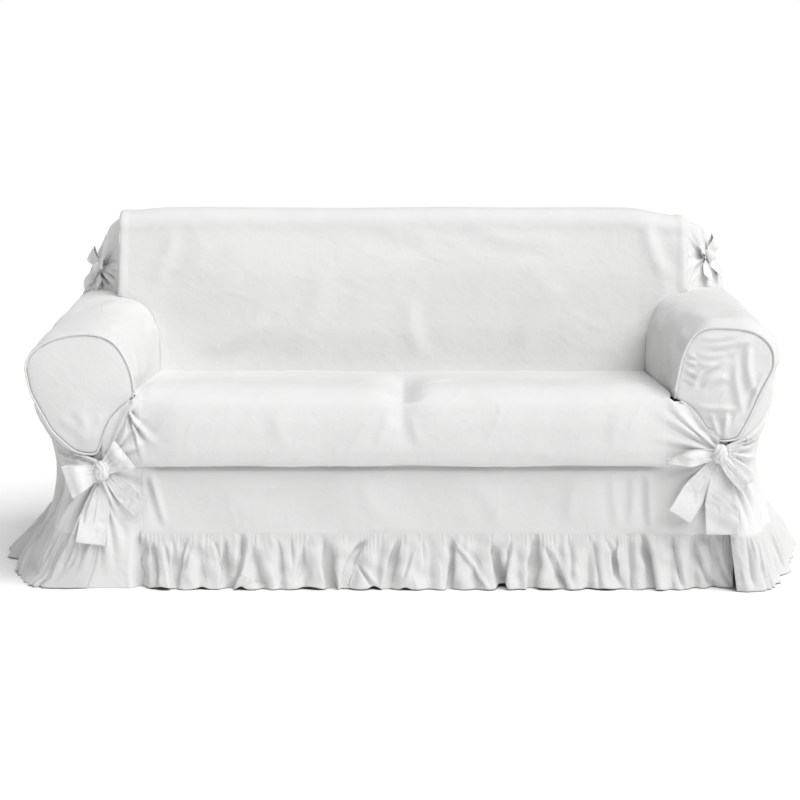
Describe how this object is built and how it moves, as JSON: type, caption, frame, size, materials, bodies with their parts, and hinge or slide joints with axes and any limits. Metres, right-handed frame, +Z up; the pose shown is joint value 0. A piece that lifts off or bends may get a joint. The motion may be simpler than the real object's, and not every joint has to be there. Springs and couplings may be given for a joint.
{
  "type": "sofa slipcover",
  "caption": "Fitted white cotton cover for a small rolled-arm sofa, with piped arm faces, gathered ruffles round the hem and tied bows at the corners.",
  "frame": {"origin": "on the floor, at the middle of the cover's box", "axes": "+X to the right as seen from the front, +Y to the back, +Z up"},
  "size_m": [2.044, 0.9633, 0.8732],
  "materials": {
    "panel_cotton": "matt woven cotton",
    "ruffle_cotton": "matt woven cotton, gathered",
    "ribbon_cotton": "matt woven cotton ties"
  },
  "bodies": {
    "root": {"inside_back": "panel_cotton", "outside_back": "panel_cotton", "seat_cover": "panel_cotton", "front_apron": "panel_cotton", "arm_cover_left": "panel_cotton", "arm_face_left": "panel_cotton", "arm_front_left": "panel_cotton", "side_skirt_left": "panel_cotton", "back_wing_left": "panel_cotton", "arm_cover_right": "panel_cotton", "arm_face_right": "panel_cotton", "arm_front_right": "panel_cotton", "side_skirt_right": "panel_cotton", "back_wing_right": "panel_cotton", "front_ruffle": "ruffle_cotton", "side_ruffle_left": "ruffle_cotton", "side_ruffle_right": "ruffle_cotton", "bow_front_left_loops": "ribbon_cotton", "bow_front_left_tails": "ribbon_cotton", "bow_front_left_knot": "ribbon_cotton", "bow_front_right_loops": "ribbon_cotton", "bow_front_right_tails": "ribbon_cotton", "bow_front_right_knot": "ribbon_cotton", "bow_back_left_loops": "ribbon_cotton", "bow_back_left_tails": "ribbon_cotton", "bow_back_left_knot": "ribbon_cotton", "bow_back_right_loops": "ribbon_cotton", "bow_back_right_tails": "ribbon_cotton", "bow_back_right_knot": "ribbon_cotton"}
  },
  "joints": []
}
